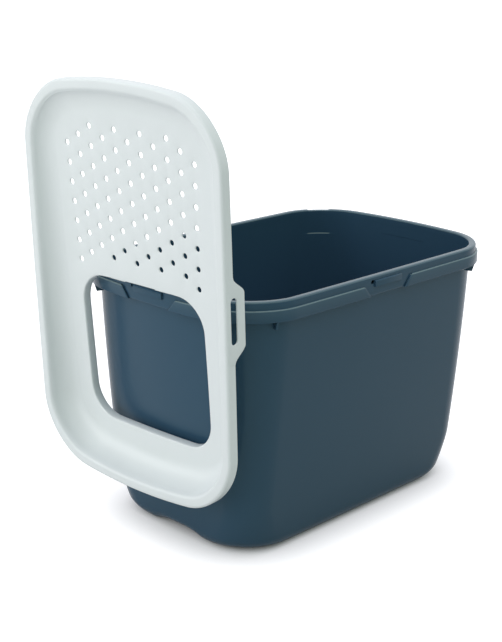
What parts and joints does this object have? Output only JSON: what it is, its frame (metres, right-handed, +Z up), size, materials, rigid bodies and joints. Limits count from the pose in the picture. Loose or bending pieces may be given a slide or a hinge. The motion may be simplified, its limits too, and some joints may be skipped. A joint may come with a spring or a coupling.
{
  "type": "top entry litter box",
  "caption": "Deep rounded litter bin with its shallow perforated lid, which has a large rounded entry and side clips, hung upright on one end of the rim.",
  "frame": {"origin": "centre of the bin's flat underside, on the floor", "axes": "+X across the bin, to the right of someone facing the hung lid's outer face; +Y along the bin, away from the hung lid; +Z up"},
  "size_m": [0.391, 0.6461, 0.6808],
  "materials": {
    "bin_plastic": "satin dark blue-grey",
    "lid_plastic": "satin white"
  },
  "bodies": {
    "bin": {"bin": "bin_plastic"},
    "lid": {"lid": "lid_plastic"},
    "left_clip": {"left_clip": "lid_plastic"},
    "right_clip": {"right_clip": "lid_plastic"}
  },
  "joints": [
    {"name": "lid_lift", "type": "slide", "parent": "bin", "child": "lid", "axis": [0, -0.1045, 0.9945], "range_m": [0, 0.35]},
    {"name": "right_clip_flex", "type": "hinge", "parent": "lid", "child": "right_clip", "pos_m": [0.19469, -0.32354, 0.38664], "axis": [-0.0014, 0.0436, -0.999], "range_deg": [0, 8], "stiffness_Nm_per_rad": 1.5},
    {"name": "left_clip_flex", "type": "hinge", "parent": "lid", "child": "left_clip", "pos_m": [-0.19509, -0.33647, 0.38664], "axis": [0.0014, -0.0436, 0.999], "range_deg": [0, 8], "stiffness_Nm_per_rad": 1.5}
  ]
}
